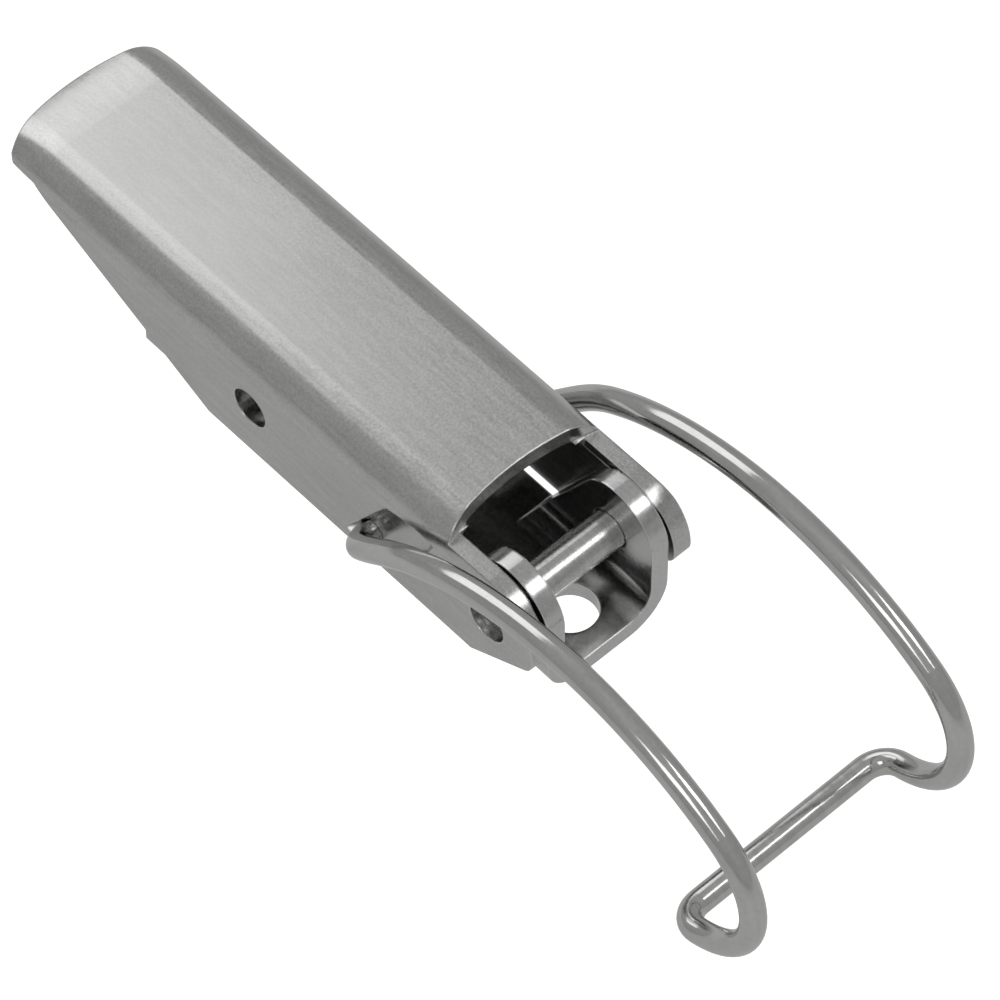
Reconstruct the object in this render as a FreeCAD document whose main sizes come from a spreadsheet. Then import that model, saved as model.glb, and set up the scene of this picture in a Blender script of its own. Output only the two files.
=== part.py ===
import FreeCAD, Part
import math
import os
import Sketcher

# Toggle latch: a folded base, a formed lever, a riveted hinge pin and a bent wire bail.
# X runs from the grip end to the hook end, Y is the hinge direction, Z is up from the mounting face.
# The origin is on the mounting face, on the centre line, below the front edge of the base.

doc = FreeCAD.newDocument("toggle_latch")

SIZES = {
    # folded base
    "sheet_gauge": 2.0,
    "base_reach": 55.5,
    "base_breadth": 14.8,
    "fold_inside": 2.6,
    "ear_crest": 15.0,
    "ear_foot": 15.3,
    "ear_slope_deg": 59.2,
    "ear_front_round": 5.2,
    "ear_back_round": 4.0,
    "screw_hole_bore": 5.5,
    "front_screw_pos": 5.0,
    "rear_screw_pos": 49.0,
    # hinge pin
    "pin_back": 5.6,
    "pin_rise": 8.85,
    "pin_girth": 4.0,
    "pin_running_gap": 0.1,
    "pin_head_girth": 4.4,
    "pin_head_recess": 1.2,
    "pin_dish_girth": 2.6,
    "pin_dish_depth": 0.5,
    "pin_edge_break": 0.15,
    # formed lever
    "lever_breadth": 19.6,
    "lever_skirt_low": 2.5,
    "lever_top": 16.85,
    "shoulder_radius": 4.12,
    "grip_bend_start": 67.5,
    "grip_bend_radius": 18.5,
    "grip_end": 73.5,
    "grip_end_bow": 24.0,
    "grip_lip_low": 13.9,
    "grip_lip_back": 71.1,
    "skirt_back_kink": 43.65,
    "skirt_slope_deg": 25.1,
    "skirt_front_kink": 7.7,
    "nose_slope_deg": 30.2,
    "nose_front": 0.4,
    "nose_top": 14.7,
    "nose_top_round": 6.2,
    "nose_low_round": 2.1,
    "roof_front": 12.54,
    "roof_front_bow": 32.0,
    "lug_flat_back": 11.45,
    "seal_hole_back": 37.6,
    "seal_hole_rise": 9.1,
    "seal_hole_girth": 4.3,
    "hollow_depth": 0.8,
    "hollow_taper_deg": 30.0,
    "lug_flat_breadth": 15.2,
    # wire bail
    "wire_girth": 2.5,
    "bail_running_gap": 0.1,
    "bail_leg_inner": 5.2,
    "bail_end_round": 0.35,
    "bail_arm_half": 12.8,
    "bail_bend_radius": 2.5,
    "bail_root_radius": 2.5,
    "bail_root_half": 11.3,
    "bail_pivot_back": 21.7,
    "bail_pivot_rise": 5.6,
    "bail_root_rise_deg": 46.0,
    "bail_root_splay_deg": 12.0,
    "bow_centre_ahead": 7.54,
    "bow_centre_rise": -16.37,
    "bow_radius": 36.66,
    "bow_start_deg": 124.5,
    "bow_meet_deg": 57.35,
    "crook_radius": 10.0,
    "crook_end_deg": -70.4,
}

# outline of the pressed hollow in the skirt, as (x, z) corners going round it
HOLLOW_CORNERS = [(-24.6, 3.94), (-22.83, 6.64), (-18.87, 12.68), (-15.2, 13.4), (-12.6, 13.2),
                  (-14.0, 9.9), (-20.2, 3.7), (-23.7, 3.4)]

sheet = doc.addObject("Spreadsheet::Sheet", "sizes")
for row, (word, amount) in enumerate(SIZES.items(), start=1):
    sheet.set("A%d" % row, word)
    sheet.set("B%d" % row, str(amount))
    sheet.setAlias("B%d" % row, word)
doc.recompute()


def size(word):
    return float(getattr(sheet, word))


def cell(word):
    return "sizes." + word


def origin_plane(body, role):
    for feature in body.Origin.OriginFeatures:
        if feature.Role == role:
            return feature
    raise ValueError("no plane " + role)


def new_body(name):
    body = doc.addObject("PartDesign::Body", name)
    body.Label = name
    return body


def new_sketch(body, name, role, offset_rule=None):
    sketch = body.newObject("Sketcher::SketchObject", name)
    sketch.AttachmentSupport = [(origin_plane(body, role), "")]
    sketch.MapMode = "FlatFace"
    if offset_rule:
        sketch.setExpression("AttachmentOffset.Base.z", offset_rule)
    doc.recompute()
    return sketch


def pin_point(sketch, curve, end, across, up):
    # ties one end of a curve to the sketch origin with two sheet-driven distances
    for kind, rule in (("DistanceX", across), ("DistanceY", up)):
        point = sketch.getPoint(curve, end)
        value = point.x if kind == "DistanceX" else point.y
        index = sketch.addConstraint(Sketcher.Constraint(kind, -1, 1, curve, end, value))
        sketch.setExpression("Constraints[%d]" % index, rule)


def polygon(sketch, corners):
    # closed outline of straight edges: each corner is (x value, x rule, y value, y rule)
    offset = sketch.GeometryCount
    count = len(corners)
    for index in range(count):
        start = corners[index]
        stop = corners[(index + 1) % count]
        sketch.addGeometry(Part.LineSegment(FreeCAD.Vector(start[0], start[2], 0),
                                            FreeCAD.Vector(stop[0], stop[2], 0)), False)
    for index in range(count):
        sketch.addConstraint(Sketcher.Constraint("Coincident", offset + index, 2,
                                                 offset + (index + 1) % count, 1))
    for index, corner in enumerate(corners):
        pin_point(sketch, offset + index, 1, corner[1], corner[3])
    doc.recompute()


def round_hole(sketch, across, across_rule, up, up_rule, girth_rule, girth):
    index = sketch.addGeometry(Part.Circle(FreeCAD.Vector(across, up, 0), FreeCAD.Vector(0, 0, 1),
                                           girth / 2), False)
    pin_point(sketch, index, 3, across_rule, up_rule)
    radius = sketch.addConstraint(Sketcher.Constraint("Radius", index, girth / 2))
    sketch.setExpression("Constraints[%d]" % radius, girth_rule + " / 2")
    doc.recompute()


def cut_both_ways(body, name, sketch):
    cut = body.newObject("PartDesign::Pocket", name)
    cut.Profile = sketch
    cut.Type = "ThroughAll"
    cut.Midplane = True
    sketch.Visibility = False
    body.Tip = cut
    doc.recompute()
    return cut


def cross_edges(shape, spots, slack=0.05):
    # names of the edges that run along Y at the given (x, z) places
    found = []
    for number, edge in enumerate(shape.Edges, start=1):
        if len(edge.Vertexes) != 2:
            continue
        first, last = (vertex.Point for vertex in edge.Vertexes)
        if abs(first.x - last.x) > slack or abs(first.z - last.z) > slack:
            continue
        for x, z in spots:
            if abs(first.x - x) < slack and abs(first.z - z) < slack:
                found.append("Edge%d" % number)
                break
    return found


def round_cross_edges(body, name, spots, radius_word):
    base = body.Tip
    edges = cross_edges(base.Shape, spots)
    if not edges:
        raise ValueError("no edges to round for " + name)
    rounded = body.newObject("PartDesign::Fillet", name)
    rounded.Base = (base, edges)
    rounded.setExpression("Radius", cell(radius_word))
    body.Tip = rounded
    doc.recompute()
    return rounded


def arc_about(across, up, radius, start, stop):
    # arc in a sketch plane, from one angle to another about a centre
    circle = Part.Circle(FreeCAD.Vector(across, up, 0), FreeCAD.Vector(0, 0, 1), radius)
    return Part.ArcOfCircle(circle, start, stop)


def channel_outline(sketch):
    # U section of the folded base, seen along the latch: outside and inside with round folds
    half = size("base_breadth") / 2
    gauge = size("sheet_gauge")
    inside = size("fold_inside")
    outside = inside + gauge
    crest = size("ear_crest")
    vec = FreeCAD.Vector
    outer_left = arc_about(-half + outside, outside, outside, math.pi, 1.5 * math.pi)
    outer_right = arc_about(half - outside, outside, outside, 1.5 * math.pi, 2 * math.pi)
    inner_left = arc_about(-half + outside, outside, inside, math.pi, 1.5 * math.pi)
    inner_right = arc_about(half - outside, outside, inside, 1.5 * math.pi, 2 * math.pi)
    curves = [
        Part.LineSegment(vec(-half, crest, 0), vec(-half, outside, 0)),
        outer_left,
        Part.LineSegment(vec(-half + outside, 0, 0), vec(half - outside, 0, 0)),
        outer_right,
        Part.LineSegment(vec(half, outside, 0), vec(half, crest, 0)),
        Part.LineSegment(vec(half, crest, 0), vec(half - gauge, crest, 0)),
        Part.LineSegment(vec(half - gauge, crest, 0), vec(half - gauge, outside, 0)),
        inner_right,
        Part.LineSegment(vec(half - outside, gauge, 0), vec(-half + outside, gauge, 0)),
        inner_left,
        Part.LineSegment(vec(-half + gauge, outside, 0), vec(-half + gauge, crest, 0)),
        Part.LineSegment(vec(-half + gauge, crest, 0), vec(-half, crest, 0)),
    ]
    for curve in curves:
        sketch.addGeometry(curve, False)
    half_rule = cell("base_breadth") + " / 2"
    fold_rule = "(" + cell("fold_inside") + " + " + cell("sheet_gauge") + ")"
    gauge_rule = cell("sheet_gauge")
    crest_rule = cell("ear_crest")
    ends = {
        0: ("-" + half_rule, crest_rule, 1, "-" + half_rule, fold_rule, 2),
        2: ("-" + half_rule + " + " + fold_rule, "0", 1, half_rule + " - " + fold_rule, "0", 2),
        4: (half_rule, fold_rule, 1, half_rule, crest_rule, 2),
        6: (half_rule + " - " + gauge_rule, crest_rule, 1,
            half_rule + " - " + gauge_rule, fold_rule, 2),
        8: (half_rule + " - " + fold_rule, gauge_rule, 1,
            "-" + half_rule + " + " + fold_rule, gauge_rule, 2),
        10: ("-" + half_rule + " + " + gauge_rule, fold_rule, 1,
             "-" + half_rule + " + " + gauge_rule, crest_rule, 2),
    }
    for curve, (x1, y1, e1, x2, y2, e2) in ends.items():
        pin_point(sketch, curve, e1, x1, y1)
        pin_point(sketch, curve, e2, x2, y2)
    joins = [(0, 2, 1, 1), (1, 2, 2, 1), (2, 2, 3, 1), (3, 2, 4, 1), (4, 2, 5, 1), (5, 2, 6, 1),
             (6, 2, 7, 2), (7, 1, 8, 1), (8, 2, 9, 2), (9, 1, 10, 1), (10, 2, 11, 1),
             (11, 2, 0, 1)]
    for first, first_end, second, second_end in joins:
        sketch.addConstraint(Sketcher.Constraint("Coincident", first, first_end,
                                                 second, second_end))
    for curve, rule in ((1, fold_rule), (3, fold_rule), (7, cell("fold_inside")),
                        (9, cell("fold_inside"))):
        index = sketch.addConstraint(Sketcher.Constraint("Radius", curve,
                                                         curves[curve].Radius))
        sketch.setExpression("Constraints[%d]" % index, rule)
    doc.recompute()


def make_base():
    body = new_body("base")
    half = size("base_breadth") / 2
    half_rule = cell("base_breadth") + " / 2"
    reach = size("base_reach")
    foot = size("ear_foot")
    gauge = size("sheet_gauge")
    crest = size("ear_crest")

    section = new_sketch(body, "base_channel_outline", "YZ_Plane")
    channel_outline(section)
    channel = body.newObject("PartDesign::Pad", "base_channel")
    channel.Profile = section
    channel.Reversed = True
    channel.setExpression("Length", cell("ear_foot"))
    body.Tip = channel
    doc.recompute()

    floor_outline = new_sketch(body, "base_floor_outline", "XY_Plane")
    polygon(floor_outline, [
        (-reach, "-" + cell("base_reach"), -half, "-" + half_rule),
        (-foot, "-" + cell("ear_foot"), -half, "-" + half_rule),
        (-foot, "-" + cell("ear_foot"), half, half_rule),
        (-reach, "-" + cell("base_reach"), half, half_rule),
    ])
    floor = body.newObject("PartDesign::Pad", "base_floor")
    floor.Profile = floor_outline
    floor.setExpression("Length", cell("sheet_gauge"))
    body.Tip = floor
    doc.recompute()

    run = (crest + 1 - gauge) / math.tan(math.radians(size("ear_slope_deg")))
    run_rule = ("(" + cell("ear_crest") + " + 1 - " + cell("sheet_gauge") + ") / tan("
                + cell("ear_slope_deg") + ")")
    slope = new_sketch(body, "ear_slope_outline", "XZ_Plane")
    polygon(slope, [
        (-foot, "-" + cell("ear_foot"), gauge, cell("sheet_gauge")),
        (-foot + run, "-" + cell("ear_foot") + " + " + run_rule, crest + 1,
         cell("ear_crest") + " + 1"),
        (-foot - 1, "-" + cell("ear_foot") + " - 1", crest + 1, cell("ear_crest") + " + 1"),
        (-foot - 1, "-" + cell("ear_foot") + " - 1", gauge, cell("sheet_gauge")),
    ])
    cut_both_ways(body, "ear_slope", slope)

    back_corner = -foot + (crest - gauge) / math.tan(math.radians(size("ear_slope_deg")))
    round_cross_edges(body, "ear_front_rounding", [(0, crest)], "ear_front_round")
    round_cross_edges(body, "ear_back_rounding", [(back_corner, crest)], "ear_back_round")

    screws = new_sketch(body, "screw_hole_outline", "XY_Plane")
    for word in ("front_screw_pos", "rear_screw_pos"):
        round_hole(screws, -size(word), "-" + cell(word), 0, "0", cell("screw_hole_bore"),
                   size("screw_hole_bore"))
    cut_both_ways(body, "screw_holes", screws)

    bore = new_sketch(body, "ear_bore_outline", "XZ_Plane")
    girth = size("pin_girth") + 2 * size("pin_running_gap")
    girth_rule = "(" + cell("pin_girth") + " + 2 * " + cell("pin_running_gap") + ")"
    round_hole(bore, -size("pin_back"), "-" + cell("pin_back"), size("pin_rise"),
               cell("pin_rise"), girth_rule, girth)
    cut_both_ways(body, "ear_bores", bore)
    return body


def make_pin():
    body = new_body("hinge_pin")
    shaft = size("pin_girth") / 2
    head = size("pin_head_girth") / 2
    inner = size("lever_breadth") / 2 - size("sheet_gauge")
    end = size("lever_breadth") / 2 - size("pin_head_recess")
    dish = size("pin_dish_girth") / 2
    bottom = end - size("pin_dish_depth")
    edge_break = size("pin_edge_break")
    shaft_rule = cell("pin_girth") + " / 2"
    head_rule = cell("pin_head_girth") + " / 2"
    inner_rule = "(" + cell("lever_breadth") + " / 2 - " + cell("sheet_gauge") + ")"
    end_rule = "(" + cell("lever_breadth") + " / 2 - " + cell("pin_head_recess") + ")"
    dish_rule = cell("pin_dish_girth") + " / 2"
    bottom_rule = "(" + end_rule + " - " + cell("pin_dish_depth") + ")"
    break_rule = cell("pin_edge_break")
    right = [
        (bottom, bottom_rule, 0, "0"),
        (end, end_rule, dish, dish_rule),
        (end, end_rule, head - edge_break, head_rule + " - " + break_rule),
        (end - edge_break, "(" + end_rule + " - " + break_rule + ")", head, head_rule),
        (inner, inner_rule, head, head_rule),
        (inner, inner_rule, shaft, shaft_rule),
    ]
    left = [(-x, "-" + x_rule, y, y_rule) for x, x_rule, y, y_rule in reversed(right)]
    outline = new_sketch(body, "pin_outline", "YZ_Plane")
    polygon(outline, right + left)
    turned = body.newObject("PartDesign::Revolution", "pin_turned")
    turned.Profile = outline
    turned.ReferenceAxis = (outline, ["H_Axis"])
    turned.Angle = 360
    body.Tip = turned
    body.setExpression("Placement.Base.x", "-" + cell("pin_back"))
    body.setExpression("Placement.Base.z", cell("pin_rise"))
    doc.recompute()
    return body


def hood_outline(sketch, inset):
    # closed section of the lever: flat top, two shoulder arcs and straight skirts
    half = size("lever_breadth") / 2 - inset
    shoulder = size("shoulder_radius") - inset
    top = size("lever_top") - inset
    out = half - shoulder
    spring = top - shoulder
    low = size("lever_skirt_low") - (1.0 if inset else 0.0)
    vec = FreeCAD.Vector
    curves = [
        Part.LineSegment(vec(-half, low, 0), vec(half, low, 0)),
        Part.LineSegment(vec(half, low, 0), vec(half, spring, 0)),
        arc_about(out, spring, shoulder, 0, math.pi / 2),
        Part.LineSegment(vec(out, top, 0), vec(-out, top, 0)),
        arc_about(-out, spring, shoulder, math.pi / 2, math.pi),
        Part.LineSegment(vec(-half, spring, 0), vec(-half, low, 0)),
    ]
    for curve in curves:
        sketch.addGeometry(curve, False)
    inset_rule = (" - " + cell("sheet_gauge")) if inset else ""
    half_rule = "(" + cell("lever_breadth") + " / 2" + inset_rule + ")"
    low_rule = cell("lever_skirt_low") + (" - 1" if inset else "")
    shoulder_rule = "(" + cell("shoulder_radius") + inset_rule + ")"
    top_rule = cell("lever_top") + inset_rule
    spring_rule = cell("lever_top") + inset_rule + " - " + shoulder_rule
    out_rule = half_rule + " - " + shoulder_rule
    close_loop(sketch, 6)
    pin_point(sketch, 0, 1, "-" + half_rule, low_rule)
    pin_point(sketch, 0, 2, half_rule, low_rule)
    pin_point(sketch, 1, 2, half_rule, spring_rule)
    pin_point(sketch, 3, 1, out_rule, top_rule)
    pin_point(sketch, 3, 2, "-(" + out_rule + ")", top_rule)
    pin_point(sketch, 5, 1, "-" + half_rule, spring_rule)
    for curve in (2, 4):
        index = sketch.addConstraint(Sketcher.Constraint("Radius", curve, shoulder))
        sketch.setExpression("Constraints[%d]" % index, shoulder_rule)
    doc.recompute()


def hood_path(body):
    # straight run from the nose, then the drooping grip end
    path = new_sketch(body, "lever_run", "XZ_Plane")
    start = size("nose_front")
    bend = size("grip_bend_start")
    radius = size("grip_bend_radius")
    end = size("grip_end")
    top = size("lever_top")
    vec = FreeCAD.Vector
    path.addGeometry(Part.LineSegment(vec(start, top, 0), vec(-bend, top, 0)), False)
    turn = math.asin((end - bend) / radius)
    path.addGeometry(arc_about(-bend, top - radius, radius, math.pi / 2, math.pi / 2 + turn),
                     False)
    path.addConstraint(Sketcher.Constraint("Tangent", 0, 2, 1, 1))
    pin_point(path, 0, 1, cell("nose_front"), cell("lever_top"))
    pin_point(path, 0, 2, "-" + cell("grip_bend_start"), cell("lever_top"))
    index = path.addConstraint(Sketcher.Constraint("Radius", 1, radius))
    path.setExpression("Constraints[%d]" % index, cell("grip_bend_radius"))
    index = path.addConstraint(Sketcher.Constraint("DistanceX", -1, 1, 1, 2, -end))
    path.setExpression("Constraints[%d]" % index, "-" + cell("grip_end"))
    doc.recompute()
    return path


def hood_run(body, kind, name, inset, path):
    outline = new_sketch(body, name + "_outline", "YZ_Plane", cell("nose_front"))
    hood_outline(outline, inset)
    run = body.newObject(kind, name)
    run.Profile = outline
    run.Spine = (path, ["Edge1", "Edge2"])
    run.Mode = "Fixed"
    body.Tip = run
    doc.recompute()
    return run


def make_lever():
    body = new_body("lever")
    path = hood_path(body)
    hood_run(body, "PartDesign::AdditivePipe", "lever_hood", 0, path)
    hood_run(body, "PartDesign::SubtractivePipe", "lever_inside", size("sheet_gauge"), path)

    nose = size("nose_front")
    nose_top = size("nose_top")
    open_roof_front(body)

    lug_back = size("lug_flat_back")
    flat = new_sketch(body, "lug_flat_outline", "XZ_Plane")
    polygon(flat, [
        (-lug_back, "-" + cell("lug_flat_back"), nose_top - 4, cell("nose_top") + " - 4"),
        (nose + 1, cell("nose_front") + " + 1", nose_top - 4, cell("nose_top") + " - 4"),
        (nose + 1, cell("nose_front") + " + 1", nose_top + 1, cell("nose_top") + " + 1"),
        (-lug_back, "-" + cell("lug_flat_back"), nose_top + 1, cell("nose_top") + " + 1"),
    ])
    lug_flat = cut_both_ways(body, "lug_flats", flat)
    lug_flat.Type = "Length"
    lug_flat.setExpression("Length", cell("lug_flat_breadth"))
    doc.recompute()

    low = size("lever_skirt_low")
    kink = size("skirt_back_kink")
    end = size("grip_end")
    lip = size("grip_lip_low")
    lip_rule = cell("grip_lip_low")
    run = (lip - low) / math.tan(math.radians(size("skirt_slope_deg")))
    run_rule = ("(" + lip_rule + " - " + cell("lever_skirt_low") + ") / tan("
                + cell("skirt_slope_deg") + ")")
    end_rule = "-" + cell("grip_end")
    drop_rule = cell("lever_skirt_low") + " - 8"
    tail = new_sketch(body, "skirt_tail_outline", "XZ_Plane")
    polygon(tail, [
        (-kink, "-" + cell("skirt_back_kink"), low, cell("lever_skirt_low")),
        (-kink - run, "-" + cell("skirt_back_kink") + " - " + run_rule, lip, lip_rule),
        (-end - 1, end_rule + " - 1", lip, lip_rule),
        (-end - 1, end_rule + " - 1", low - 8, drop_rule),
        (-kink, "-" + cell("skirt_back_kink"), low - 8, drop_rule),
    ])
    cut_both_ways(body, "skirt_tail", tail)
    bow_grip_end(body)

    front = size("skirt_front_kink")
    lift = (nose + 1 + front) * math.tan(math.radians(size("nose_slope_deg")))
    lift_rule = ("(" + cell("nose_front") + " + 1 + " + cell("skirt_front_kink") + ") * tan("
                 + cell("nose_slope_deg") + ")")
    chin = new_sketch(body, "nose_chin_outline", "XZ_Plane")
    polygon(chin, [
        (-front, "-" + cell("skirt_front_kink"), low, cell("lever_skirt_low")),
        (-front, "-" + cell("skirt_front_kink"), low - 2, cell("lever_skirt_low") + " - 2"),
        (nose + 1, cell("nose_front") + " + 1", low - 2, cell("lever_skirt_low") + " - 2"),
        (nose + 1, cell("nose_front") + " + 1", low + lift,
         cell("lever_skirt_low") + " + " + lift_rule),
    ])
    cut_both_ways(body, "nose_chin", chin)
    chin_up = low + (nose + front) * math.tan(math.radians(size("nose_slope_deg")))
    round_cross_edges(body, "nose_top_rounding", [(nose, nose_top)], "nose_top_round")
    round_cross_edges(body, "nose_low_rounding", [(nose, chin_up)], "nose_low_round")

    holes = new_sketch(body, "skirt_hole_outline", "XZ_Plane")
    round_hole(holes, -size("seal_hole_back"), "-" + cell("seal_hole_back"),
               size("seal_hole_rise"), cell("seal_hole_rise"), cell("seal_hole_girth"),
               size("seal_hole_girth"))
    round_hole(holes, -size("pin_back"), "-" + cell("pin_back"), size("pin_rise"),
               cell("pin_rise"), cell("pin_head_girth"), size("pin_head_girth"))
    girth = size("wire_girth") + 2 * size("bail_running_gap")
    girth_rule = "(" + cell("wire_girth") + " + 2 * " + cell("bail_running_gap") + ")"
    round_hole(holes, -size("bail_pivot_back"), "-" + cell("bail_pivot_back"),
               size("bail_pivot_rise"), cell("bail_pivot_rise"), girth_rule, girth)
    cut_both_ways(body, "skirt_holes", holes)

    for side, mark in ((1, "right"), (-1, "left")):
        hollow = skirt_cut(body, side, "hollow_" + mark, HOLLOW_CORNERS, cell("hollow_depth"))
        hollow.setExpression("TaperAngle", "-" + cell("hollow_taper_deg"))
        back = -size("grip_lip_back")
        lip_corner = [(back, lip), (back - 3, lip + 3), (back - 3, lip - 1), (back, lip - 1)]
        skirt_cut(body, side, "lip_corner_" + mark, lip_corner, cell("sheet_gauge"))
    doc.recompute()
    return body


def open_roof_front(body):
    # the roof's front edge is bowed in plan, and cut away only down to the top of the lugs
    front = size("roof_front")
    bow = size("roof_front_bow")
    half = size("lever_breadth") / 2 + 1
    ahead = size("nose_front") + 1
    turn = math.asin(half / bow)
    side = -front + bow - bow * math.cos(turn)
    vec = FreeCAD.Vector
    sketch = new_sketch(body, "roof_front_outline", "XY_Plane", cell("nose_top"))
    sketch.addGeometry(arc_about(bow - front, 0, bow, math.pi - turn, math.pi + turn), False)
    sketch.addGeometry(Part.LineSegment(vec(side, -half, 0), vec(ahead, -half, 0)), False)
    sketch.addGeometry(Part.LineSegment(vec(ahead, -half, 0), vec(ahead, half, 0)), False)
    sketch.addGeometry(Part.LineSegment(vec(ahead, half, 0), vec(side, half, 0)), False)
    close_loop(sketch, 4)
    half_rule = "(" + cell("lever_breadth") + " / 2 + 1)"
    ahead_rule = cell("nose_front") + " + 1"
    pin_point(sketch, 0, 3, cell("roof_front_bow") + " - " + cell("roof_front"), "0")
    radius = sketch.addConstraint(Sketcher.Constraint("Radius", 0, bow))
    sketch.setExpression("Constraints[%d]" % radius, cell("roof_front_bow"))
    pin_point(sketch, 2, 1, ahead_rule, "-" + half_rule)
    pin_point(sketch, 2, 2, ahead_rule, half_rule)
    for line in (1, 3):
        sketch.addConstraint(Sketcher.Constraint("Horizontal", line))
    cut = body.newObject("PartDesign::Pocket", "lever_mouth")
    cut.Profile = sketch
    cut.Reversed = True
    cut.setExpression("Length", cell("lever_top") + " - " + cell("nose_top") + " + 1")
    sketch.Visibility = False
    body.Tip = cut
    doc.recompute()
    return cut


def close_loop(sketch, count):
    # joins each curve's end to the next one's start
    for index in range(count):
        sketch.addConstraint(Sketcher.Constraint("Coincident", index, 2, (index + 1) % count, 1))


def bow_grip_end(body):
    # the grip end is slightly bowed in plan, so its corners stand back from the middle
    end = size("grip_end")
    bow = size("grip_end_bow")
    half = size("lever_breadth") / 2 + 1
    turn = math.asin(half / bow)
    sketch = new_sketch(body, "grip_bow_outline", "XY_Plane")
    vec = FreeCAD.Vector
    side = bow - end - bow * math.cos(turn)
    sketch.addGeometry(arc_about(bow - end, 0, bow, math.pi - turn, math.pi + turn), False)
    sketch.addGeometry(Part.LineSegment(vec(side, -half, 0), vec(-end - 4, -half, 0)), False)
    sketch.addGeometry(Part.LineSegment(vec(-end - 4, -half, 0), vec(-end - 4, half, 0)), False)
    sketch.addGeometry(Part.LineSegment(vec(-end - 4, half, 0), vec(side, half, 0)), False)
    close_loop(sketch, 4)
    half_rule = "(" + cell("lever_breadth") + " / 2 + 1)"
    pin_point(sketch, 0, 3, cell("grip_end_bow") + " - " + cell("grip_end"), "0")
    radius = sketch.addConstraint(Sketcher.Constraint("Radius", 0, bow))
    sketch.setExpression("Constraints[%d]" % radius, cell("grip_end_bow"))
    pin_point(sketch, 2, 1, "-" + cell("grip_end") + " - 4", "-" + half_rule)
    pin_point(sketch, 2, 2, "-" + cell("grip_end") + " - 4", half_rule)
    for line in (1, 3):
        sketch.addConstraint(Sketcher.Constraint("Horizontal", line))
    doc.recompute()
    cut_both_ways(body, "grip_bow", sketch)


def skirt_cut(body, side, name, corners, depth_rule):
    # cut into one skirt from its outer face: a pressed hollow, or a corner taken off
    rule = ("-" if side > 0 else "") + cell("lever_breadth") + " / 2"
    outline = new_sketch(body, name + "_outline", "XZ_Plane", rule)
    polygon(outline, [(x, "%.2f" % x, z, "%.2f" % z) for x, z in corners])
    cut = body.newObject("PartDesign::Pocket", name)
    cut.Profile = outline
    cut.Reversed = side > 0
    cut.setExpression("Length", depth_rule)
    outline.Visibility = False
    body.Tip = cut
    doc.recompute()
    return cut


def ring_point(centre, radius, angle, y):
    return FreeCAD.Vector(centre.x + radius * math.cos(angle), y,
                          centre.z + radius * math.sin(angle))


def fillet_arc(corner, toward, away, radius):
    # arc that rounds a corner between an incoming and an outgoing direction
    turn = toward.getAngle(away)
    reach = radius * math.tan(turn / 2)
    start = corner - toward * reach
    stop = corner + away * reach
    inward = (away - toward).normalize()
    middle = corner + inward * (radius / math.cos(turn / 2) - radius)
    return start, Part.Arc(start, middle, stop).toShape(), stop


def bail_path():
    # centre line of the wire: leg, root bend, splayed lead-in, bow, crook, bar bend, crossbar
    bow = FreeCAD.Vector(size("bow_centre_ahead"), 0, size("bow_centre_rise"))
    start = math.radians(size("bow_start_deg"))
    meet = math.radians(size("bow_meet_deg"))
    end = math.radians(size("crook_end_deg"))
    gap = size("bow_radius") - size("crook_radius")
    crook = bow + FreeCAD.Vector(gap * math.cos(meet), 0, gap * math.sin(meet))
    arm = -size("bail_arm_half")

    corner = FreeCAD.Vector(-size("bail_pivot_back"), -size("bail_root_half"),
                            size("bail_pivot_rise"))
    rise = math.radians(size("bail_root_rise_deg"))
    splay = math.radians(size("bail_root_splay_deg"))
    away = FreeCAD.Vector(math.cos(splay) * math.cos(rise), -math.sin(splay),
                          math.cos(splay) * math.sin(rise))
    outward = FreeCAD.Vector(0, -1, 0)
    bend_start, root_bend, bend_stop = fillet_arc(corner, outward, away,
                                                  size("bail_root_radius"))
    root = FreeCAD.Vector(corner.x, -size("bail_leg_inner"), corner.z)

    first = ring_point(bow, size("bow_radius"), start, arm)
    lead = Part.BSplineCurve()
    lead.interpolate(Points=[bend_stop, first], InitialTangent=away,
                     FinalTangent=FreeCAD.Vector(math.sin(start), 0, -math.cos(start)))
    join = ring_point(bow, size("bow_radius"), meet, arm)
    bow_middle = ring_point(bow, size("bow_radius"), (start + meet) / 2, arm)
    crook_middle = ring_point(crook, size("crook_radius"), (meet + end) / 2, arm)
    last = ring_point(crook, size("crook_radius"), end, arm)
    heading = FreeCAD.Vector(math.sin(end), 0, -math.cos(end))
    turn = size("bail_bend_radius")
    bar_corner = last + heading * turn
    bar_start, bar_bend, bar_stop = fillet_arc(bar_corner, heading, FreeCAD.Vector(0, 1, 0), turn)
    half = [
        Part.makeLine(root, bend_start),
        root_bend,
        lead.toShape(),
        Part.Arc(first, bow_middle, join).toShape(),
        Part.Arc(join, crook_middle, last).toShape(),
        bar_bend,
        Part.makeLine(bar_stop, FreeCAD.Vector(bar_stop.x, 0, bar_stop.z)),
    ]
    other = [edge.mirror(FreeCAD.Vector(0, 0, 0), FreeCAD.Vector(0, 1, 0)) for edge in half]
    return half + other, root


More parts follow.
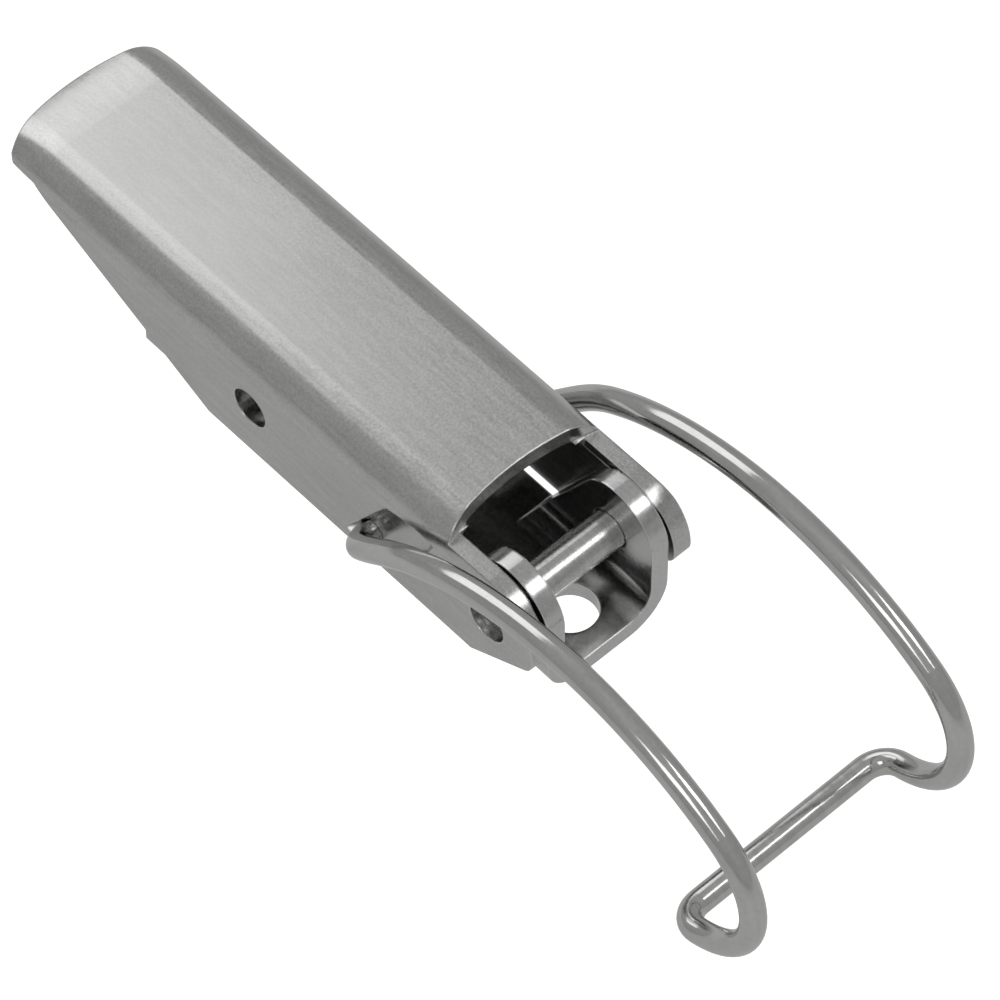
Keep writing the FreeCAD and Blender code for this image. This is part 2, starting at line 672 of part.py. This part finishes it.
def make_bail():
    edges, root = bail_path()
    path = doc.addObject("Part::Feature", "bail_path")
    wire = Part.Wire(Part.sortEdges(edges)[0])
    path.Shape = wire
    ring = doc.addObject("Part::Circle", "bail_wire_outline")
    ring.setExpression("Radius", cell("wire_girth") + " / 2")
    ring.Placement = FreeCAD.Placement(root, FreeCAD.Rotation(FreeCAD.Vector(1, 0, 0), 90))
    doc.recompute()
    swept = doc.addObject("Part::Sweep", "bail_wire")
    swept.Sections = [ring]
    swept.Spine = (path, ["Edge%d" % (n + 1) for n in range(len(wire.Edges))])
    swept.Solid = True
    swept.Frenet = False
    doc.recompute()
    ends = []
    for number, edge in enumerate(swept.Shape.Edges, start=1):
        low, high = edge.BoundBox.YMin, edge.BoundBox.YMax
        if high - low < 0.01 and abs(abs(low) - size("bail_leg_inner")) < 0.01:
            ends.append(number)
    bail = doc.addObject("Part::Fillet", "bail")
    bail.Base = swept
    bail.Edges = [(number, size("bail_end_round"), size("bail_end_round")) for number in ends]
    bail.Label = "bail"
    doc.recompute()
    return bail


nodes = [make_base(), make_pin(), make_lever(), make_bail()]
doc.recompute()

for item in doc.Objects:
    if "Invalid" in item.State or "Error" in item.State:
        raise ValueError("bad state: " + item.Name + " " + str(item.State))
for node in nodes:
    shape = node.Shape
    if shape.isNull() or not shape.isValid() or len(shape.Solids) != 1:
        raise ValueError("bad solid: " + node.Label)

os.makedirs("parts", exist_ok=True)
for node in nodes:
    node.Shape.exportStep("parts/%s.step" % node.Label)
    box = node.Shape.BoundBox
    print(node.Label, "volume %.1f" % node.Shape.Volume,
          "x %.2f %.2f y %.2f %.2f z %.2f %.2f" % (box.XMin, box.XMax, box.YMin, box.YMax,
                                                 box.ZMin, box.ZMax))
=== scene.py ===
import bpy
import math
from mathutils import Matrix, Vector

# Toggle latch in stainless steel: a folded base, a hollow lever, a riveted hinge pin
# and a bail bent from one wire. Metres, with the origin under the base's front edge.

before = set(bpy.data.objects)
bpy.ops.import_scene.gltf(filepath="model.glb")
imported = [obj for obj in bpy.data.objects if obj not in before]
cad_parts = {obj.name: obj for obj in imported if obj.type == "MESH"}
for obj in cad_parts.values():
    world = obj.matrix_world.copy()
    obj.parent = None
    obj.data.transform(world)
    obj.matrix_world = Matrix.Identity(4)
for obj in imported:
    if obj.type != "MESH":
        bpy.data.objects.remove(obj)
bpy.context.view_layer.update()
print("latch loaded:", sorted(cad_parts))


# Helpers for building materials: each adds one step to a tree and returns its output.

def newMaterial(name):
    material = bpy.data.materials.new(name)
    material.use_nodes = True
    tree = material.node_tree
    tree.nodes.clear()
    shader = tree.nodes.new("ShaderNodeBsdfPrincipled")
    output = tree.nodes.new("ShaderNodeOutputMaterial")
    tree.links.new(shader.outputs["BSDF"], output.inputs["Surface"])
    return material, tree, shader


def stretchedPlace(tree, stretch=(1, 1, 1)):
    # the piece's own coordinates; below 1, a texture is drawn out along that axis
    place = tree.nodes.new("ShaderNodeTexCoord")
    mapping = tree.nodes.new("ShaderNodeMapping")
    mapping.inputs["Scale"].default_value = stretch
    tree.links.new(place.outputs["Object"], mapping.inputs["Vector"])
    return mapping.outputs["Vector"]


def noise(tree, place, scale, detail, rough):
    texture = tree.nodes.new("ShaderNodeTexNoise")
    texture.inputs["Scale"].default_value = scale
    texture.inputs["Detail"].default_value = detail
    texture.inputs["Roughness"].default_value = rough
    tree.links.new(place, texture.inputs["Vector"])
    return texture.outputs["Fac"]


def spread(tree, value, source, target):
    # carries the range source over to the range target
    ranged = tree.nodes.new("ShaderNodeMapRange")
    ranged.inputs["From Min"].default_value, ranged.inputs["From Max"].default_value = source
    ranged.inputs["To Min"].default_value, ranged.inputs["To Max"].default_value = target
    tree.links.new(value, ranged.inputs["Value"])
    return ranged.outputs["Result"]


def combine(tree, kind, first, second):
    maths = tree.nodes.new("ShaderNodeMath")
    maths.operation = kind
    for socket, value in zip(maths.inputs, (first, second)):
        if isinstance(value, (int, float)):
            socket.default_value = value
        else:
            tree.links.new(value, socket)
    return maths.outputs["Value"]


def mixShares(tree, main, extra, extraShare):
    return combine(tree, "ADD", combine(tree, "MULTIPLY", main, 1 - extraShare),
                   combine(tree, "MULTIPLY", extra, extraShare))


def blendColour(tree, amount, darkColour, lightColour):
    mix = tree.nodes.new("ShaderNodeMix")
    mix.data_type = "RGBA"
    share, dark, light, result = mix.inputs[0], mix.inputs[6], mix.inputs[7], mix.outputs[2]
    for socket, value in ((dark, darkColour), (light, lightColour)):
        if isinstance(value, tuple):
            socket.default_value = (*value, 1)
        else:
            tree.links.new(value, socket)
    tree.links.new(amount, share)
    return result


def roundedEdges(tree, radius):
    rounded = tree.nodes.new("ShaderNodeBevel")
    rounded.samples = 6
    rounded.inputs["Radius"].default_value = radius
    return rounded.outputs["Normal"]


def edgeHighlightAndPolish(tree, radius, turned):
    # 1 on sharp edges and 0 on open faces: the rounded normal against the true one; it
    #                                       lightens edges as a painted highlight and takes
    #                                       roughness off them
    surface = tree.nodes.new("ShaderNodeNewGeometry")
    facing = tree.nodes.new("ShaderNodeVectorMath")
    facing.operation = "DOT_PRODUCT"
    tree.links.new(roundedEdges(tree, radius), facing.inputs[0])
    tree.links.new(surface.outputs["Normal"], facing.inputs[1])
    return spread(tree, facing.outputs["Value"], turned, (0.0, 1.0))


def addBump(tree, height, depth, strength, before=None):
    bump = tree.nodes.new("ShaderNodeBump")
    bump.inputs["Distance"].default_value = depth
    bump.inputs["Strength"].default_value = strength
    tree.links.new(height, bump.inputs["Height"])
    if before is not None:
        tree.links.new(before, bump.inputs["Normal"])
    return bump.outputs["Normal"]


# What every steel sheet here has in common: an even grain, faint rolling marks along the
# sheet, broad cloudy patches, and sharp edges given a painted highlight (a lighter colour)
# and a lower roughness.
rolledSheet = {
    "grainDetail": (3.0, 0.6),       # detail and roughness of the noise
    "rollingScale": 0.5,             # against the grain's own scale
    "rollingStretch": (0.12, 1, 1),
    "rollingDetail": (2.0, 0.5),
    "rollingShare": 0.35,
    "cloudScale": 55.0,
    "cloudDetail": (2.0, 0.5),
    "cloudShare": 0.15,
    "toneRange": (0.36, 0.64),       # the part of the noise that shows as colour
    "roughRange": (0.35, 0.65),      # the part that shows as roughness
    "edgeRadius": 0.00028,
    "edgeTurn": (0.995, 0.86),       # how far the normal has turned, from open face to edge
    "edgeHighlightShare": 0.6,
    "edgePolish": 0.12,              # roughness taken off a worn edge
    "grainDepth": 0.00002,
}

# Lever: satin sheet with a fine grain.
leverFinish = {
    "darkSteel": (0.445, 0.445, 0.435),
    "lightSteel": (0.600, 0.600, 0.590),
    # painted highlight: the light colour laid along sharp edges
    "edgeHighlightSteel": (0.80, 0.80, 0.79),
    "grainScale": 4200.0,            # grains about a quarter of a millimetre across
    "grainStrength": 0.10,
    "rough": (0.19, 0.27),
}

# Base: the same sheet, burnished where it was folded.
baseFinish = {
    "darkSteel": (0.50, 0.50, 0.495),
    "lightSteel": (0.60, 0.60, 0.595),
    # painted highlight: the light colour laid along sharp edges
    "edgeHighlightSteel": (0.80, 0.80, 0.79),
    "grainScale": 3200.0,
    "grainStrength": 0.08,
    "rough": (0.14, 0.24),
}


def steelSheet(name, finish):
    sheet = rolledSheet
    material, tree, shader = newMaterial(name)
    plain = stretchedPlace(tree)
    rolled = stretchedPlace(tree, sheet["rollingStretch"])
    grain = noise(tree, plain, finish["grainScale"], *sheet["grainDetail"])
    rolling = noise(tree, rolled, finish["grainScale"] * sheet["rollingScale"],
                    *sheet["rollingDetail"])
    cloud = noise(tree, plain, sheet["cloudScale"], *sheet["cloudDetail"])
    speckle = mixShares(tree, grain, rolling, sheet["rollingShare"])
    tone = mixShares(tree, speckle, cloud, sheet["cloudShare"])
    steel = blendColour(tree, spread(tree, tone, sheet["toneRange"], (0, 1)),
                        finish["darkSteel"], finish["lightSteel"])
    highlightAndPolish = edgeHighlightAndPolish(tree, sheet["edgeRadius"], sheet["edgeTurn"])
    # painted highlight: sharp edges lightened towards the edge colour
    steel = blendColour(tree, combine(tree, "MULTIPLY", highlightAndPolish, sheet["edgeHighlightShare"]), steel,
                        finish["edgeHighlightSteel"])
    tree.links.new(steel, shader.inputs["Base Color"])
    shader.inputs["Metallic"].default_value = 1.0
    rough = spread(tree, speckle, sheet["roughRange"], finish["rough"])
    polish = combine(tree, "MULTIPLY", highlightAndPolish, sheet["edgePolish"])
    tree.links.new(combine(tree, "SUBTRACT", rough, polish), shader.inputs["Roughness"])
    relief = addBump(tree, speckle, sheet["grainDepth"], finish["grainStrength"],
                     roundedEdges(tree, sheet["edgeRadius"]))
    tree.links.new(relief, shader.inputs["Normal"])
    return material


# Hinge pin: turned rod, with fine rings round it.
pinFinish = {
    "darkSteel": (0.50, 0.50, 0.49),
    "lightSteel": (0.57, 0.57, 0.56),
    "ringScale": 2200.0,
    "ringStretch": (0.05, 1, 0.05),  # rings lie across the pin's length
    "ringDetail": (4.0, 0.6),
    "ringDepth": 0.00001,
    "ringStrength": 0.25,
    "grainScale": 2500.0,
    "grainDetail": (2.0, 0.5),
    "noiseRange": (0.35, 0.65),
    "rough": (0.18, 0.30),
}


def turnedRod(name, finish):
    material, tree, shader = newMaterial(name)
    ringed = stretchedPlace(tree, finish["ringStretch"])
    plain = stretchedPlace(tree)
    rings = noise(tree, ringed, finish["ringScale"], *finish["ringDetail"])
    grain = noise(tree, plain, finish["grainScale"], *finish["grainDetail"])
    steel = blendColour(tree, spread(tree, rings, finish["noiseRange"], (0, 1)),
                        finish["darkSteel"], finish["lightSteel"])
    tree.links.new(steel, shader.inputs["Base Color"])
    shader.inputs["Metallic"].default_value = 1.0
    tree.links.new(spread(tree, grain, finish["noiseRange"], finish["rough"]),
                   shader.inputs["Roughness"])
    tree.links.new(addBump(tree, rings, finish["ringDepth"], finish["ringStrength"]),
                   shader.inputs["Normal"])
    return material


# Bail: bright drawn wire, a fine grain mixed with longer drawing marks.
wireFinish = {
    "darkSteel": (0.50, 0.50, 0.49),
    "lightSteel": (0.58, 0.58, 0.57),
    "grainScale": 1900.0,
    "grainDetail": (3.0, 0.6),
    "lineScale": 1600.0,
    "lineStretch": (0.10, 1, 0.10),  # the wire's bows lie in the lengthwise, upright plane
    "lineDetail": (2.0, 0.5),
    "lineShare": 0.6,
    "toneRange": (0.36, 0.64),
    "roughRange": (0.35, 0.65),
    "reliefDepth": 0.00001,
    "reliefStrength": 0.2,
    "rough": (0.10, 0.17),
}


def drawnWire(name, finish):
    material, tree, shader = newMaterial(name)
    plain = stretchedPlace(tree)
    drawn = stretchedPlace(tree, finish["lineStretch"])
    grain = noise(tree, plain, finish["grainScale"], *finish["grainDetail"])
    lines = noise(tree, drawn, finish["lineScale"], *finish["lineDetail"])
    tone = mixShares(tree, grain, lines, finish["lineShare"])
    steel = blendColour(tree, spread(tree, tone, finish["toneRange"], (0, 1)),
                        finish["darkSteel"], finish["lightSteel"])
    tree.links.new(steel, shader.inputs["Base Color"])
    shader.inputs["Metallic"].default_value = 1.0
    tree.links.new(spread(tree, tone, finish["roughRange"], finish["rough"]),
                   shader.inputs["Roughness"])
    tree.links.new(addBump(tree, tone, finish["reliefDepth"], finish["reliefStrength"]),
                   shader.inputs["Normal"])
    return material


def dress(node, material):
    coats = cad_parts[node].data.materials
    coats.clear()
    coats.append(material)


dress("lever", steelSheet("satinLeverSheet", leverFinish))
dress("base", steelSheet("burnishedBaseSheet", baseFinish))
dress("hinge_pin", turnedRod("turnedPin", pinFinish))
dress("bail", drawnWire("brightWire", wireFinish))
print("finishes on")

# Floor: a plain lit table, well below the latch because the wire swings under the base.
floorSetting = {
    "drop": 0.050,
    "size": 6.0,
    "colour": (0.80, 0.80, 0.80),
    "fibreShade": 0.99,              # the darker fibres against the table's colour
    "fibreScale": 320.0,
    "fibreDetail": (3.0, 0.6),
    "rough": 0.9,
    "shine": 0.1,
    "glow": 0.70,                    # makes the table white to the eye only
}


def cameraShare(tree):
    # 1 for what the camera sees itself, 0 for what the steel reflects
    return tree.nodes.new("ShaderNodeLightPath").outputs["Is Camera Ray"]


def makeFloor():
    bpy.ops.mesh.primitive_plane_add(size=floorSetting["size"],
                                     location=(0, 0, -floorSetting["drop"]))
    floor = bpy.context.object
    floor.name = "floor"
    material, tree, shader = newMaterial("litTable")
    fibre = noise(tree, stretchedPlace(tree), floorSetting["fibreScale"],
                  *floorSetting["fibreDetail"])
    light = floorSetting["colour"]
    soft = tuple(channel * floorSetting["fibreShade"] for channel in light)
    tree.links.new(blendColour(tree, fibre, soft, light), shader.inputs["Base Color"])
    shader.inputs["Roughness"].default_value = floorSetting["rough"]
    shader.inputs["Specular IOR Level"].default_value = floorSetting["shine"]
    shader.inputs["Emission Color"].default_value = (1, 1, 1, 1)
    tree.links.new(combine(tree, "MULTIPLY", cameraShare(tree), floorSetting["glow"]),
                   shader.inputs["Emission Strength"])
    floor.data.materials.append(material)


# Room: an even grey that lightens a little towards the ceiling, and white to the camera.
roomSetting = {
    # height from the horizon (0) to straight up (1), and how bright it is there
    "levels": ((0.0, 0.40), (0.30, 0.41), (0.60, 0.42), (0.85, 0.46), (1.0, 0.50)),
    "seen": 1.0,
}


def makeRoom():
    world = bpy.data.worlds.new("room")
    bpy.context.scene.world = world
    world.use_nodes = True
    tree = world.node_tree
    tree.nodes.clear()
    place = tree.nodes.new("ShaderNodeTexCoord")
    split = tree.nodes.new("ShaderNodeSeparateXYZ")
    tree.links.new(place.outputs["Generated"], split.inputs["Vector"])
    ramp = tree.nodes.new("ShaderNodeValToRGB")
    stops = ramp.color_ramp.elements
    first, *between, last = roomSetting["levels"]
    for stop, (position, value) in zip(stops, (first, last)):
        stop.position = position
        stop.color = (value, value, value, 1)
    for position, value in between:
        stops.new(position).color = (value, value, value, 1)
    tree.links.new(split.outputs["Z"], ramp.inputs["Fac"])
    glow = tree.nodes.new("ShaderNodeBackground")
    tree.links.new(ramp.outputs["Color"], glow.inputs["Color"])
    seen = tree.nodes.new("ShaderNodeBackground")
    seen.inputs["Color"].default_value = (roomSetting["seen"],) * 3 + (1,)
    mix = tree.nodes.new("ShaderNodeMixShader")
    tree.links.new(cameraShare(tree), mix.inputs["Fac"])
    tree.links.new(glow.outputs["Background"], mix.inputs[1])
    tree.links.new(seen.outputs["Background"], mix.inputs[2])
    output = tree.nodes.new("ShaderNodeOutputWorld")
    tree.links.new(mix.outputs["Shader"], output.inputs["Surface"])


# Soft panels round the latch: place is a direction from its middle, size is in metres
# and glow is how bright the panel's face looks.
softLights = {
    "gripPanel": {"place": (-0.74, 0.05, 0.66), "size": (0.62, 0.56), "glow": 1.08},
    "hookPanel": {"place": (0.47, 0.36, 0.80), "size": (0.24, 0.24), "glow": 3.6},
    "nearPanel": {"place": (0.34, -0.62, 0.70), "size": (0.30, 0.30), "glow": 1.8},
}
lightDistance = 0.80
latchMiddle = Vector((-0.02, 0, 0.005))


def addSoftLight(name, setting):
    light = bpy.data.lights.new(name, "AREA")
    light.shape = "RECTANGLE"
    light.size, light.size_y = setting["size"]
    light.energy = math.pi * setting["glow"] * light.size * light.size_y
    lamp = bpy.data.objects.new(name, light)
    bpy.context.scene.collection.objects.link(lamp)
    lamp.location = latchMiddle + Vector(setting["place"]).normalized() * lightDistance
    lamp.rotation_mode = "QUATERNION"
    lamp.rotation_quaternion = (latchMiddle - lamp.location).to_track_quat("-Z", "Y")


makeFloor()
makeRoom()
for name, setting in softLights.items():
    addSoftLight(name, setting)
print("floor, room and lights ready")

# Camera: three-quarter view from above the hook end, from far off so that it hardly
# converges. right, up and back are the camera's own axes.
cameraSetting = {
    "place": (0.22146, -0.21809, 0.46720),
    "lens": 222.11,
    "sensorWidth": 36,
    "nearest": 0.01,
    "farthest": 20,
    "right": (0.678910, 0.734221, 0.0),
    "up": (-0.601090, 0.555808, 0.574255),
    "back": (0.421630, -0.389868, 0.818677),
}


def makeCamera():
    data = bpy.data.cameras.new("camera")
    data.lens = cameraSetting["lens"]
    data.sensor_width = cameraSetting["sensorWidth"]
    data.clip_start = cameraSetting["nearest"]
    data.clip_end = cameraSetting["farthest"]
    camera = bpy.data.objects.new("camera", data)
    bpy.context.scene.collection.objects.link(camera)
    axes = (cameraSetting["right"], cameraSetting["up"], cameraSetting["back"])
    turn = Matrix(axes).transposed().to_4x4()
    camera.matrix_world = Matrix.Translation(cameraSetting["place"]) @ turn
    bpy.context.scene.camera = camera


makeCamera()
bpy.context.scene.view_settings.view_transform = "Standard"
print("camera set")

bpy.context.view_layer.update()
